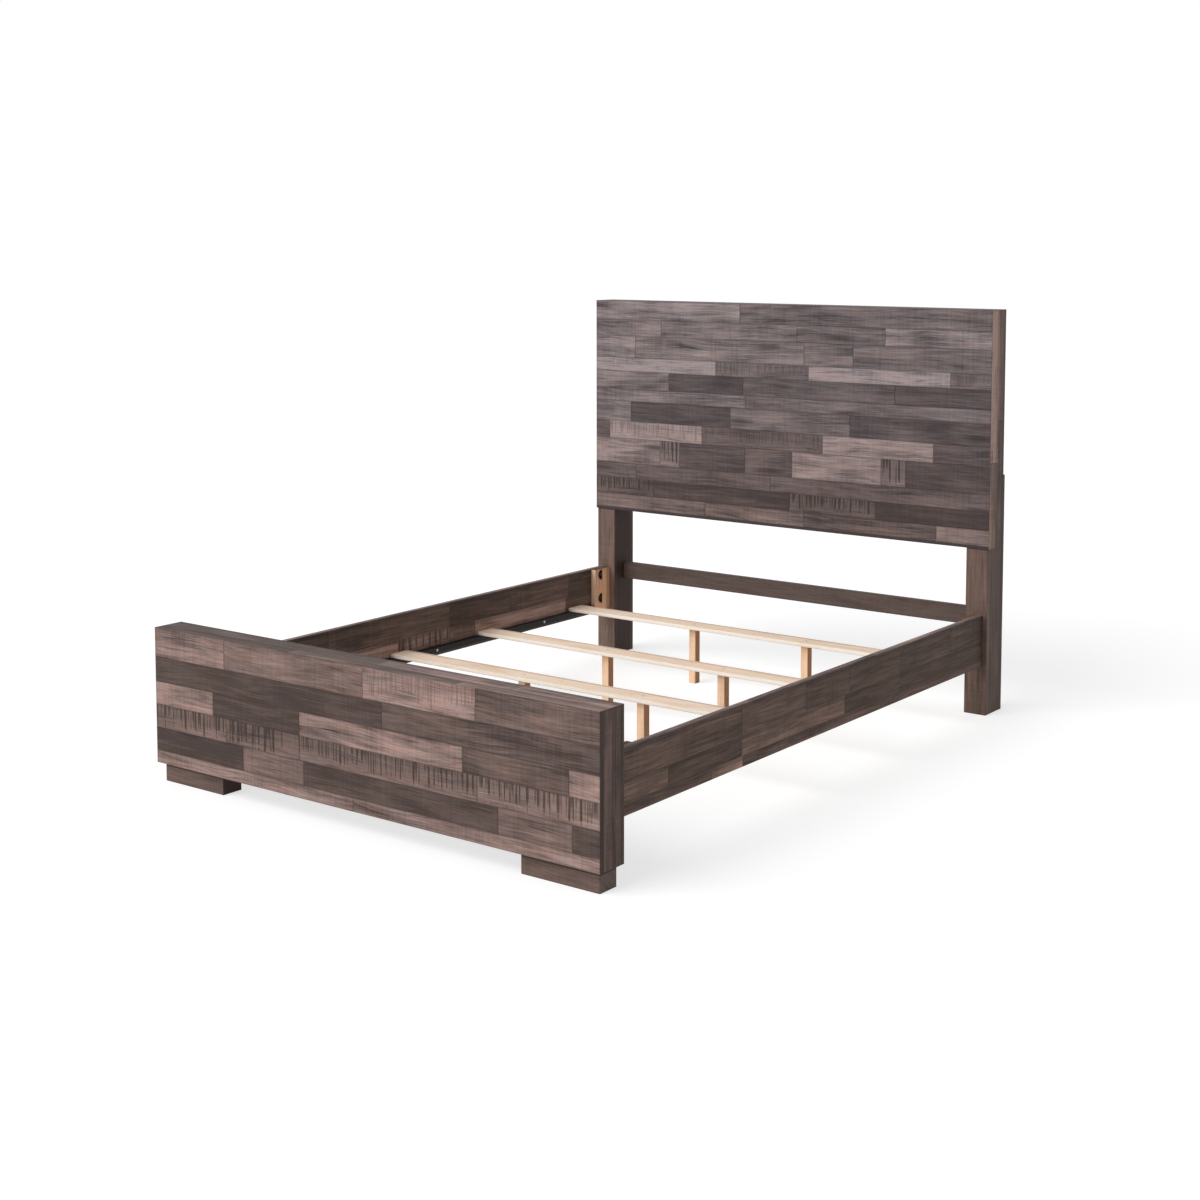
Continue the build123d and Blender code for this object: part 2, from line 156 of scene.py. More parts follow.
FOOTBOARD_ROWS = (
    (87, ((300, LIGHT), (550, FAIR), (400, PALE, FAINT), (400, MID))),
    (74, ((920, DARK), (730, DUSK))),
    (68, ((250, LIGHT), (355, DARK), (600, LIGHT), (350, DUSK), (95, LIGHT))),
    (70, ((305, FAIR, SAWN), (300, FAIR, SAWN), (650, FAIR, SAWN), (395, SOFT, SAWN))),
    (70, ((375, SOOT), (245, FAIR), (705, DARK), (240, FAIR), (85, DARK))),
    (38, ((810, LIGHT), (840, SOFT))),
)
FOOTBOARD_BACK_ROWS = (
    (87, ((420, MID), (610, DUSK), (620, FAIR))),
    (74, ((700, FAIR), (350, DARK), (600, MID, SAWN))),
    (68, ((250, DARK), (560, LIGHT), (440, DUSK), (400, MID))),
    (70, ((620, MID), (480, DARK), (550, LIGHT))),
    (70, ((330, LIGHT), (520, DUSK, SAWN), (800, MID))),
    (38, ((900, FAIR), (750, DUSK))),
)

# Rows of the rails, from the top down and from the foot to the head
RAIL_CAP = 3 * MM
RAIL_OUTER_ROWS = (
    (85, ((570, DUSK), (340, DUSK), (255, DARK), (320, DARK), (340, DARK), (240, DARK))),
    (56, ((220, MID), (350, DARK), (565, FAIR), (345, DARK), (575, DARK))),
    (31, ((420, MID), (155, LIGHT), (780, MID), (710, DUSK))),
)
RAIL_INNER_ROWS = (
    (85, ((570, DARK), (590, DUSK), (330, DARK), (345, DUSK), (230, DARK))),
    (56, ((900, PALE), (260, LIGHT, SAWN), (135, MID), (520, PALE), (250, DUSK))),
    (31, ((800, DUSK), (1265, DARK))),
)
RAIL_CAP_ROWS = ((20, ((620, FAIR), (700, MID), (745, FAIR))),)

# Rows of the narrow faces: tops from the back, ends from the back and from the bottom up
HEADBOARD_TOP_ROWS = (
    (50, ((700, DUSK), (950, DARK))),
    (54, ((1000, DARK), (650, DARK))),
)
HEADBOARD_END_ROWS = (
    (46, ((430, DARK), (370, DUSK))),
    (58, ((290, MID), (510, PALE))),
)
FOOTBOARD_TOP_ROWS = (
    (58, ((860, DARK), (790, LIGHT))),
    (42, ((560, SOOT), (620, MID), (470, LIGHT))),
)
FOOTBOARD_END_ROWS = (
    (35, ((407, DUSK),)),
    (48, ((407, MID),)),
    (17, ((407, DARK),)),
)
PLAIN_ROW = ((1000, ((2000, DUSK),)),)

# Figures of the grain: length along it, width across it, and detail
CLOUDS = (260 * MM, 50 * MM, 3.0)
BANDS = (210 * MM, 13 * MM, 3.0)
STREAK_LENGTH, STREAK_DETAIL = 120 * MM, 4.0
PORES = (45 * MM, 2 * MM, 2.0)
PATCHES = (150 * MM, 28 * MM, 2.0)
CROSS_MARKS = (9 * MM, 240 * MM, 1.0)
FIGURE_ROUGHNESS = 0.62
KNOT_SPACING = (1100 * MM, 190 * MM)

# The grain's wander: its bends per metre along and across, and how far it strays
WANDER_BENDS = (3.0, 7.0, 0)
WANDER_REACH = 16 * MM

# The dark lines at a board's edges fade between these distances, and the grain's relief is this deep
EDGE_LINE_START, EDGE_LINE_END = 0.5 * MM, 4 * MM
GRAIN_RELIEF = 0.5 * MM


# Materials
def linear(hex_colour):
    """A written sRGB colour as linear values."""
    levels = [int(hex_colour[start:start + 2], 16) / 255 for start in (1, 3, 5)]
    values = [level / 12.92 if level <= 0.04045 else ((level + 0.055) / 1.055) ** 2.4 for level in levels]
    return (*values, 1.0)


def add(tree, kind, inputs=None, out=0, **settings):
    """Adds a shader node whose inputs are plain values or sockets, and returns one of its outputs.

    Inputs go by name or number. Map Range takes its value as 0, the range of it as 1 and 2, and the
    new range as 3 and 4. Mix takes its factor as 0 and two colours as 6 and 7, and gives output 2.
    """
    node = tree.nodes.new("ShaderNode" + kind)
    for setting, value in settings.items():
        setattr(node, setting, value)
    for name, value in (inputs or {}).items():
        if isinstance(value, bpy.types.NodeSocket):
            tree.links.new(value, node.inputs[name])
        else:
            node.inputs[name].default_value = value
    return node.outputs[out]


def new_material(name, **constants):
    """A material with one Principled shader, whose constant values are set on its own sockets."""
    material = bpy.data.materials.new(name)
    material.use_nodes = True
    shader = material.node_tree.nodes["Principled BSDF"]
    for socket, value in constants.items():
        shader.inputs[socket.replace("_", " ")].default_value = value
    return material, material.node_tree, shader


def wandering(tree, grain, seed):
    """Places in the grain, which wanders by some millimetres across the board."""
    slow = add(tree, "VectorMath", {0: grain, 1: WANDER_BENDS}, operation="MULTIPLY")
    settings = {"Vector": slow, "W": seed, "Scale": 1.0, "Detail": 1.0}
    wander = add(tree, "TexNoise", settings, noise_dimensions="4D")
    shift = add(tree, "MapRange", {0: wander, 3: -WANDER_REACH, 4: WANDER_REACH})
    sideways = add(tree, "CombineXYZ", {"Y": shift})
    return add(tree, "VectorMath", {0: grain, 1: sideways}, operation="ADD")


def figure_noise(tree, place, seed, figure):
    """Noise about as long and as wide as a figure of the grain."""
    length, width, detail = figure
    stretched = add(tree, "VectorMath", {0: place, 1: (1 / length, 1 / width, 0)}, operation="MULTIPLY")
    settings = {
        "Vector": stretched, "W": seed, "Scale": 1.0, "Detail": detail, "Roughness": FIGURE_ROUGHNESS,
    }
    return add(tree, "TexNoise", settings, noise_dimensions="4D")


def saw_marks(tree, height, patches, cross_marks, sawn):
    """Dark ticks across the grain, each with its own length, and the ragged upper part that they cross."""
    ragged = add(tree, "MapRange", {0: patches, 3: -1.5, 4: 1.5})
    ragged_height = add(tree, "Math", {0: height, 1: ragged}, operation="ADD")
    reach = add(tree, "MapRange", {0: cross_marks, 1: 0.42, 2: 0.66, 3: -0.8, 4: 0.6})
    tick_height = add(tree, "Math", {0: ragged_height, 1: reach}, operation="ADD")
    parts = []
    for level in (ragged_height, tick_height):
        upper = add(tree, "MapRange", {0: level, 1: -0.6, 2: 0.2}, interpolation_type="SMOOTHSTEP")
        parts.append(add(tree, "Math", {0: upper, 1: sawn}, operation="MULTIPLY"))
    sawn_part, tick_part = parts
    limits = {1: 0.42, 2: 0.6, 4: 0.8}
    ticks = add(tree, "MapRange", {0: cross_marks, **limits}, interpolation_type="SMOOTHSTEP")
    return add(tree, "Math", {0: ticks, 1: tick_part}, operation="MULTIPLY"), sawn_part


def knots(tree, place, seed):
    """Knots, one in some boards, longer than wide."""
    length, width = KNOT_SPACING
    start = add(tree, "CombineXYZ", {"X": seed, "Y": seed})
    cells = {0: place, 1: (1 / length, 1 / width, 0), 2: start}
    stretched = add(tree, "VectorMath", cells, operation="MULTIPLY_ADD")
    settings = {"Vector": stretched, "Scale": 1.0}
    distance = add(tree, "TexVoronoi", settings, "Distance", voronoi_dimensions="2D")
    limits = {1: 0.015, 2: 0.085, 3: 0.6, 4: 0.0}
    return add(tree, "MapRange", {0: distance, **limits}, interpolation_type="SMOOTHSTEP")


def edge_lines(tree, along, across, half_length, half_width):
    """Dark lines along a board's own edges."""
    distances = []
    for place, half_size in ((along, half_length), (across, half_width)):
        off_centre = add(tree, "Math", {0: place}, operation="ABSOLUTE")
        distances.append(add(tree, "Math", {0: half_size, 1: off_centre}, operation="SUBTRACT"))
    nearest = add(tree, "Math", dict(enumerate(distances)), operation="MINIMUM")
    return add(tree, "MapRange", {0: nearest, 1: EDGE_LINE_START, 2: EDGE_LINE_END, 3: 0.4, 4: 0.0})


def wood(name, grey, brown, mark_colour, streak, contrast, pores, roughness):
    """Wood whose grain follows each board's own length. Grey and brown are each a dark and a light."""
    material, tree, shader = new_material(name, Specular_IOR_Level=0.2)
    grain = add(tree, "UVMap", uv_map="grain")
    look = add(tree, "Attribute", out="Vector", attribute_name="look")
    extent = add(tree, "Attribute", out="Vector", attribute_name="extent")
    tone, warmth, sawn = [add(tree, "SeparateXYZ", {0: look}, part) for part in "XYZ"]
    half_length, half_width, seed = [add(tree, "SeparateXYZ", {0: extent}, part) for part in "XYZ"]
    along, across = [add(tree, "SeparateXYZ", {0: grain}, part) for part in "XY"]

    bent = wandering(tree, grain, seed)
    clouds = figure_noise(tree, bent, seed, CLOUDS)
    bands = figure_noise(tree, bent, seed, BANDS)
    streaks = figure_noise(tree, bent, seed, (STREAK_LENGTH, streak, STREAK_DETAIL))
    pore_noise = figure_noise(tree, bent, seed, PORES)
    patches = figure_noise(tree, bent, seed, PATCHES)
    cross_marks = figure_noise(tree, bent, seed, CROSS_MARKS)
    limits = {1: 0.5, 2: 0.72, 3: 0.0, 4: pores}
    pore_lines = add(tree, "MapRange", {0: pore_noise, **limits}, interpolation_type="SMOOTHSTEP")
    height = add(tree, "Math", {0: across, 1: half_width}, operation="DIVIDE")
    ticks, sawn_part = saw_marks(tree, height, patches, cross_marks, sawn)

    # Tone of the board, moved by its noises, more so where it is pale and less so between saw marks
    change = 0.0
    for noise, weight in ((clouds, 1.1), (bands, 1.0), (streaks, 1.3), (cross_marks, 0.3)):
        limits = {1: 0.33, 2: 0.67, 3: -weight * contrast, 4: weight * contrast}
        step = add(tree, "MapRange", {0: noise, **limits}, clamp=False)
        change = add(tree, "Math", {0: change, 1: step}, operation="ADD")
    spread = add(tree, "MapRange", {0: tone, 3: 0.25, 4: 2.0})
    calm = add(tree, "MapRange", {0: sawn_part, 3: 1.0, 4: 0.45})
    for factor in (spread, calm):
        change = add(tree, "Math", {0: change, 1: factor}, operation="MULTIPLY")
    shade = add(tree, "Math", {0: tone, 1: change}, operation="ADD", use_clamp=True)
    shades = []
    for dark, light in (grey, brown):
        shades.append(add(tree, "Mix", {0: shade, 6: linear(dark), 7: linear(light)}, 2, data_type="RGBA"))
    grey_wood, brown_wood = shades

    # Patches of a board lean to grey or to brown
    lean = add(tree, "MapRange", {0: patches, 1: 0.3, 2: 0.7, 3: -0.2, 4: 0.2}, clamp=False)
    brownness = add(tree, "Math", {0: warmth, 1: lean}, operation="ADD", use_clamp=True)
    colour = add(tree, "Mix", {0: brownness, 6: grey_wood, 7: brown_wood}, 2, data_type="RGBA")

    # The darkest of the marks wins
    marks = ticks
    edges = edge_lines(tree, along, across, half_length, half_width)
    for other in (edges, pore_lines, knots(tree, bent, seed)):
        marks = add(tree, "Math", {0: marks, 1: other}, operation="MAXIMUM")
    marked = add(tree, "Mix", {0: marks, 6: colour, 7: linear(mark_colour)}, 2, data_type="RGBA")
    tree.links.new(marked, shader.inputs["Base Color"])
    sheen = add(tree, "MapRange", {0: streaks, 1: 0.3, 2: 0.7, 3: roughness + 0.08, 4: roughness - 0.08})
    tree.links.new(sheen, shader.inputs["Roughness"])
    relief = add(tree, "Math", {0: streaks, 1: marks}, operation="SUBTRACT")
    bump = add(tree, "Bump", {"Height": relief, "Strength": 0.35, "Distance": GRAIN_RELIEF})
    tree.links.new(bump, shader.inputs["Normal"])
    return material


def steel(name, dark, light, metallic, roughness):
    """Steel with a fine uneven sheen, from Object coordinates."""
    material, tree, shader = new_material(name, Metallic=metallic)
    place = add(tree, "TexCoord", out="Object")
    cloud = add(tree, "TexNoise", {"Vector": place, "Scale": 1 / (6 * MM), "Detail": 4.0})
    sheen = add(tree, "MapRange", {0: cloud, 1: 0.3, 2: 0.7, 3: roughness - 0.1, 4: roughness + 0.1})
    tree.links.new(sheen, shader.inputs["Roughness"])
    tint = add(tree, "Mix", {0: cloud, 6: linear(dark), 7: linear(light)}, 2, data_type="RGBA")
    tree.links.new(tint, shader.inputs["Base Color"])
    return material


def hidden_wood(name, dark, light, along):
    """Raw wood for the inner pieces, with its streaks along one axis in Object coordinates."""
    material, tree, shader = new_material(name, Roughness=0.75)
    place = add(tree, "TexCoord", out="Object")
    scale = [1 / (9 * MM)] * 3
    scale[along] = 1 / (300 * MM)
    stretched = add(tree, "VectorMath", {0: place, 1: scale}, operation="MULTIPLY")
    streaks = add(tree, "TexNoise", {"Vector": stretched, "Scale": 1.0, "Detail": 4.0})
    colour = add(tree, "Mix", {0: streaks, 6: linear(dark), 7: linear(light)}, 2, data_type="RGBA")
    tree.links.new(colour, shader.inputs["Base Color"])
    return material


# Barn-wood veneer: flat planks in greys and browns, with dark streaks, saw marks and a dull sheen
barn_wood = wood(
    "barn_wood_veneer", grey=("#433b3d", "#a09495"), brown=("#44352c", "#b59285"), mark_colour="#2a201c",
    streak=3 * MM, contrast=0.18, pores=0.35, roughness=0.62,
)
# Stained poplar: the legs' plain brown boards, evenly streaked
stained_poplar = wood(
    "stained_poplar", grey=("#4f4441", "#85776f"), brown=("#45352f", "#886f64"), mark_colour="#2a201c",
    streak=5 * MM, contrast=0.12, pores=0.25, roughness=0.6,
)
# Planed pine: pale peach slats with soft, narrow grain
planed_pine = wood(
    "planed_pine", grey=("#f4d4bb", "#fff5e8"), brown=("#a87a58", "#fbd3ae"), mark_colour="#a0775a",
    streak=4 * MM, contrast=0.1, pores=0.1, roughness=0.7,
)
# Raw rubberwood: reddish end blocks with an open grain, and tops under the rail's dark stain
raw_rubberwood = wood(
    "raw_rubberwood", grey=("#4a3d38", "#eeccae"), brown=("#4a3a33", "#f2b78e"), mark_colour="#8a5f47",
    streak=3 * MM, contrast=0.06, pores=0.3, roughness=0.75,
)
# Black lacquered batten: a soft sheen over faint grain
black_lacquer = wood(
    "black_lacquer", grey=("#0d0c0c", "#191717"), brown=("#0e0c0b", "#1b1817"), mark_colour="#080707",
    streak=4 * MM, contrast=0.15, pores=0.2, roughness=0.45,
)
# Zinc-plated steel: bright screw and bolt heads
zinc_steel = steel("zinc_plated_steel", "#a9a9a4", "#cfcfca", metallic=1.0, roughness=0.34)
# Blackened steel: dark nuts, washers and bolts in the end blocks
black_steel = steel("blackened_steel", "#35322f", "#5c5751", metallic=0.7, roughness=0.4)
# Raw poplar: pale, streaky uprights inside the panels
raw_poplar = hidden_wood("raw_poplar_upright", "#b98f63", "#d9b98d", Z)
# Beech: pale dowels with a close grain along them
beech = hidden_wood("beech_dowel", "#c19a6b", "#dcbf97", X)

chance = random.Random(CHANCE_SEED)


# Boards
def lay_grain(shape, low, high, along, look):
    """Gives all faces of a shape the grain of one board: place along and across it, look and size."""
    grain = shape.loops.layers.uv.new("grain")
    look_layer = shape.faces.layers.float_vector.new("look")
    extent_layer = shape.faces.layers.float_vector.new("extent")
    size = high - low
    depth, across = sorted((axis for axis in (X, Y, Z) if axis != along), key=lambda axis: size[axis])
    middle = (low + high) / 2
    extent = (size[along] / 2, size[across] / 2, chance.uniform(0, GRAIN_STARTS))
    for face in shape.faces:
        face[look_layer] = look
        face[extent_layer] = extent
        for loop in face.loops:
            place = loop.vert.co - middle
            loop[grain].uv = (place[along], place[across] + place[depth] + size[depth] / 2)


def rounded_box(low, high, rounding):
    """A box with rounded edges."""
    shape = bmesh.new()
    place = Matrix.Translation((low + high) / 2) @ Matrix.Diagonal((*(high - low), 1.0))
    bmesh.ops.create_cube(shape, size=1.0, matrix=place)
    bmesh.ops.bevel(
        shape, geom=shape.edges[:], offset=rounding, segments=BOARD_STEPS, profile=0.5, affect="EDGES",
        material=-1,
    )
    return shape


def eased_shape(node, rounding):
    """A merged copy of a CAD node with its sharp edges rounded."""
    shape = bmesh.new()
    shape.from_mesh(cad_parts[node].data)
    bmesh.ops.remove_doubles(shape, verts=shape.verts[:], dist=BOARD_MERGE)
    bmesh.ops.dissolve_limit(shape, angle_limit=FLAT_ANGLE, verts=shape.verts[:], edges=shape.edges[:])
    sharp = [edge for edge in shape.edges if edge.calc_face_angle(0) > SHARP_ANGLE]
    bmesh.ops.bevel(
        shape, geom=sharp, offset=rounding, segments=COPY_STEPS, profile=0.5, affect="EDGES", material=-1,
        clamp_overlap=True,
    )
    return shape


def cut_flat(shape, point, normal):
    """Cuts off what lies beyond a plane and closes the cut."""
    everything = shape.verts[:] + shape.edges[:] + shape.faces[:]
    bmesh.ops.bisect_plane(
        shape, geom=everything, dist=BOARD_MERGE, plane_co=point, plane_no=normal, clear_outer=True
    )
    open_edges = [edge for edge in shape.edges if edge.is_boundary]
    bmesh.ops.holes_fill(shape, edges=open_edges)


def mitre(low, high, face, edge):
    """The plane of a mitre where a board's face meets one of its edges, both as ways to look."""
    corner = low.copy()
    for axis, sign in (face, edge):
        corner[axis] = high[axis] if sign > 0 else low[axis]
    return corner, DIRECTIONS[edge[0]] * edge[1] - DIRECTIONS[face[0]] * face[1]


def plank_boxes(low, high, along, stack, rows):
    """The corners, tone, saw marks and added brown of each plank, row by row from the board's high side."""
    top = high[stack]
    for row_number, (row_height, planks, *row_brown) in enumerate(rows):
        bottom = low[stack] if row_number == len(rows) - 1 else top - row_height * MM
        start = low[along]
        for plank_number, (length, tone, *marks) in enumerate(planks):
            end = high[along] if plank_number == len(planks) - 1 else start + length * MM
            plank_low = low.copy()
            plank_high = high.copy()
            plank_low[along] = start
            plank_high[along] = end
            plank_low[stack] = bottom
            plank_high[stack] = top
            yield plank_low, plank_high, tone, sum(marks), sum(row_brown)
            start = end
        top = bottom


def add_planks(board, low, high, along, stack, rows, finish, cuts=()):
    """Adds a layer of planks to a board, cut by the planes of the board's mitres."""
    lightness, warmth = finish
    scratch = bpy.data.meshes.new("plank")
    for plank_low, plank_high, tone, sawn, brown in plank_boxes(low, high, along, stack, rows):
        plank = rounded_box(plank_low, plank_high, SEAM_ROUND)
        for point, normal in cuts:
            cut_flat(plank, point, normal)
        plank_tone = lightness * (tone + chance.uniform(-TONE_SCATTER, TONE_SCATTER))
        lay_grain(plank, plank_low, plank_high, along, (plank_tone, warmth + brown, sawn))
        plank.to_mesh(scratch)
        plank.free()
        board.from_mesh(scratch)
    bpy.data.meshes.remove(scratch)


def tint_faces(shape, facing, look):
    """Gives the faces that look one way a look of their own."""
    look_layer = shape.faces.layers.float_vector["look"]
    axis, sign = facing
    for face in shape.faces:
        if face.normal[axis] * sign > LOOKS_ALONG:
            face[look_layer] = (*look, UNSAWN)


def stain_and_shade_top(shape, depth):
    """Darkens the top of a board, and its sides for a little way down: a dark stain on the end blocks, and
    on the feet painted shade, a painted shadow line under the footboard.
    """
    line = max(vert.co.z for vert in shape.verts) - depth
    everything = shape.verts[:] + shape.edges[:] + shape.faces[:]
    bmesh.ops.bisect_plane(
        shape, geom=everything, dist=BOARD_MERGE, plane_co=(0, 0, line), plane_no=DIRECTIONS[Z]
    )
    look_layer = shape.faces.layers.float_vector["look"]
    for face in shape.faces:
        if face.calc_center_median().z > line:
            face[look_layer] = (*DARK_LOOK, UNSAWN)


def finish_piece(shape, name, body, material, slot, *nodes):
    """Makes an object of a shape, which rides on a body and stands for CAD nodes."""
    mesh = bpy.data.meshes.new(name)
    shape.to_mesh(mesh)
    shape.free()
    mesh.materials.append(material)
    piece = bpy.data.objects.new(name, mesh)
    bpy.context.scene.collection.objects.link(piece)
    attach(piece, body)
    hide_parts(*nodes)


def planked_board(name, node, face, along, rows, finish, mitred):
    """Makes a veneered board that stands for a CAD node, with planks over its face and mitred edges."""
    low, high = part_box(node)
    stack = next(axis for axis in (X, Y, Z) if axis not in (face[0], along))
    board = bmesh.new()
    cuts = [mitre(low, high, face, edge) for edge in mitred]
    add_planks(board, low, high, along, stack, rows, finish, cuts)
    finish_piece(board, name, "frame", barn_wood, "plank_wood", node)


def solid_board(shape, node, along, material, slot, look, body="frame", tints=(), stain_and_shade_depth=0.0):
    """Makes a board of one piece of wood that stands for a CAD node."""
    lay_grain(shape, *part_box(node), along, (*look, UNSAWN))
    for facing, face_look in tints:
        tint_faces(shape, facing, face_look)
    # A darkened top, which on the feet is painted shade and on the end blocks a stain
    if stain_and_shade_depth:
        stain_and_shade_top(shape, stain_and_shade_depth)
    finish_piece(shape, node + "_wood", body, material, slot, node)


def plain_board(node, along, material, slot, look, rounding=BOARD_ROUND, body="frame", tints=()):
    """Makes a board with rounded edges that fills its CAD node's box."""
    solid_board(rounded_box(*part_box(node), rounding), node, along, material, slot, look, body, tints)


def eased_board(node, along, material, slot, look, rounding, tints=(), stain_and_shade_depth=0.0):
    """Makes a board with holes or pockets, in the shape of its CAD node."""
    solid_board(
        eased_shape(node, rounding), node, along, material, slot, look, tints=tints, stain_and_shade_depth=stain_and_shade_depth
    )


# Headboard and footboard panels
planked_board(
    "headboard_front_planks", "headboard_front_board", FRONT, X, HEADBOARD_ROWS, HEADBOARD_FINISH,
    (LEFT, RIGHT, UNDER, TOP),
)
planked_board(
    "headboard_top_planks", "headboard_top_board", TOP, X, HEADBOARD_TOP_ROWS, HEADBOARD_FINISH,
    (LEFT, RIGHT, FRONT),
)
planked_board(
    "headboard_under_planks", "headboard_bottom_board", UNDER, X, PLAIN_ROW, HEADBOARD_FINISH,
    (LEFT, RIGHT, FRONT),
)
planked_board(
    "footboard_front_planks", "footboard_front_board", FRONT, X, FOOTBOARD_ROWS, FOOTBOARD_FINISH,
    (LEFT, RIGHT, UNDER, TOP),
)
planked_board(
    "footboard_back_planks", "footboard_back_board", BACK, X, FOOTBOARD_BACK_ROWS, FOOTBOARD_FINISH,
    (LEFT, RIGHT, UNDER, TOP),
)
planked_board(
    "footboard_top_planks", "footboard_top_board", TOP, X, FOOTBOARD_TOP_ROWS, FOOTBOARD_FINISH,
    (LEFT, RIGHT, FRONT, BACK),
)
planked_board(
    "footboard_under_planks", "footboard_bottom_board", UNDER, X, PLAIN_ROW, FOOTBOARD_FINISH,
    (LEFT, RIGHT, FRONT, BACK),
)
for side, face in (("left", LEFT), ("right", RIGHT)):
    planked_board(
        f"headboard_{side}_end_planks", f"headboard_{side}_end_board", face, Z, HEADBOARD_END_ROWS,
        HEADBOARD_END_FINISH, (FRONT, UNDER, TOP),
    )
    planked_board(
        f"footboard_{side}_end_planks", f"footboard_{side}_end_board", face, Z, FOOTBOARD_END_ROWS,
        FOOTBOARD_END_FINISH, (FRONT, BACK, UNDER, TOP),
    )
plain_board("headboard_back_panel", X, stained_poplar, "back_panel", BACK_PANEL_LOOK, BACK_PANEL_ROUND)

# Legs, cross rail and block feet; the feet have a painted shadow line under the footboard
for side, outer_face, inner_face in (("left", LEFT, RIGHT), ("right", RIGHT, LEFT)):
    # The inner faces of the posts and feet are darkened, a painted shade
    painted_shade_inside = (inner_face, DARK_LOOK)
    plain_board(
        f"headboard_{side}_post", Z, stained_poplar, "leg_wood", POST_LOOKS[side], tints=[painted_shade_inside]
    )
    eased_board(f"headboard_{side}_strip", Z, stained_poplar, "leg_wood", STRIP_LOOK, LEG_ROUND)
    eased_board(
        f"footboard_{side}_foot", X, stained_poplar, "leg_wood", FOOT_LOOK, LEG_ROUND,
        [painted_shade_inside, (outer_face, FOOT_OUTER_PAINTED_LIGHT)], FOOT_PAINTED_SHADOW,
    )
plain_board("headboard_cross_rail", X, stained_poplar, "leg_wood", CROSS_RAIL_LOOK)


# Side rails, with the ledger and the end blocks inside them
def side_rail(side):
    """Makes a rail of planks: an outer and an inner veneer under a cap strip."""
    node = f"{side}_side_rail"
    low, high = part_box(node)
    middle_x = (low.x + high.x) / 2
    under_cap = high.z - RAIL_CAP
    left_half = low, Vector((middle_x, high.y, under_cap))
    right_half = Vector((middle_x, low.y, low.z)), Vector((high.x, high.y, under_cap))
    outer_half, inner_half = (left_half, right_half) if side == "left" else (right_half, left_half)
    rail = bmesh.new()
    add_planks(rail, *outer_half, Y, Z, RAIL_OUTER_ROWS, RAIL_OUTER_FINISH)
    add_planks(rail, *inner_half, Y, Z, RAIL_INNER_ROWS, RAIL_INNER_FINISH)
    add_planks(rail, Vector((low.x, low.y, under_cap)), high, Y, X, RAIL_CAP_ROWS, RAIL_CAP_FINISH)
    finish_piece(rail, f"{side}_side_rail_planks", "frame", barn_wood, "plank_wood", node)


# The blocks' narrow sides are paler, a painted highlight, and the rail's dark stain runs over their tops
block_end_highlights = [(FRONT, BLOCK_END_PAINTED_LIGHT), (BACK, BLOCK_END_PAINTED_LIGHT)]
for side in ("left", "right"):
    side_rail(side)
    plain_board(f"{side}_ledger", Y, black_lacquer, "black_ledger", LEDGER_LOOK)
    for end in ("head", "foot"):
        eased_board(
            f"{side}_{end}_end_block", Z, raw_rubberwood, "block_wood", BLOCK_LOOK, BLOCK_ROUND,
            block_end_highlights, BLOCK_STAINS[side],
        )

# Slats, with a painted highlight on their front and back edges, and their support legs, with painted shade
# on their left and right sides
slat_edge_highlights = [(FRONT, SLAT_EDGE_PAINTED_LIGHT), (BACK, SLAT_EDGE_PAINTED_LIGHT)]
# The legs' left and right sides are darkened, a painted shade
slat_leg_painted_shade = [(LEFT, DARK_LOOK), (RIGHT, DARK_LOOK)]
for place in ("head", "middle", "foot"):
    body = f"{place}_slat"
    plain_board(body, X, planed_pine, "slat_pine", SLAT_LOOK, body=body, tints=slat_edge_highlights)
    for side in ("left", "right"):
        leg = f"{place}_slat_{side}_leg"
        plain_board(leg, Z, planed_pine, "slat_pine", SLAT_LEG_LOOK, body=body, tints=slat_leg_painted_shade)

# Fasteners
TURNING_STEPS = 24
HEAD_RIM = 0.3 * MM
SCREW_RADIUS = 2.2 * MM
SCREW_HEAD_RADIUS = 4.5 * MM
CROSS_HALF_WIDTH = 0.6 * MM
CROSS_REACH = 2.4 * MM
CROSS_DEPTH = 1.4 * MM
BOLT_RADIUS = 4 * MM
BOLT_CHAMFER = 1 * MM
THREAD_PITCH = 1.5 * MM
THREAD_DEPTH = 0.6 * MM
PANEL_BOLT_HEAD_RADIUS = 8 * MM
PANEL_BOLT_HEAD_HEIGHT = 5 * MM
SOCKET_HALF_WIDTH = 2.5 * MM
SOCKET_DEPTH = 3 * MM


def solids_of(node):
    """The lowest and highest corners of each separate solid in a CAD node."""
    shape = bmesh.new()
    shape.from_mesh(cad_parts[node].data)
    bmesh.ops.remove_doubles(shape, verts=shape.verts[:], dist=FASTENER_MERGE)
    boxes = []
    unseen = set(shape.verts)
    for start in shape.verts:
        if start not in unseen:
            continue
        unseen.remove(start)
        solid = [start]
        for vert in solid:
            neighbours = [edge.other_vert(vert) for edge in vert.link_edges]
            new = [other for other in neighbours if other in unseen]
            unseen.difference_update(new)
            solid.extend(new)
        low = Vector([min(vert.co[axis] for vert in solid) for axis in (X, Y, Z)])
        high = Vector([max(vert.co[axis] for vert in solid) for axis in (X, Y, Z)])
        boxes.append((low, high))
    shape.free()
    return boxes


def turned(profile):
    """A round solid about the z axis, from radius and height pairs that start and end on the axis."""
    shape = bmesh.new()
    line = [shape.verts.new((radius, 0, height)) for radius, height in profile]
    edges = [shape.edges.new(pair) for pair in zip(line, line[1:])]
    bmesh.ops.spin(
        shape, geom=line + edges, axis=DIRECTIONS[Z], cent=(0, 0, 0), angle=2 * math.pi,
        steps=TURNING_STEPS, use_merge=True,
    )
    bmesh.ops.remove_doubles(shape, verts=shape.verts[:], dist=FASTENER_MERGE)
    bmesh.ops.recalc_face_normals(shape, faces=shape.faces[:])
    return shape


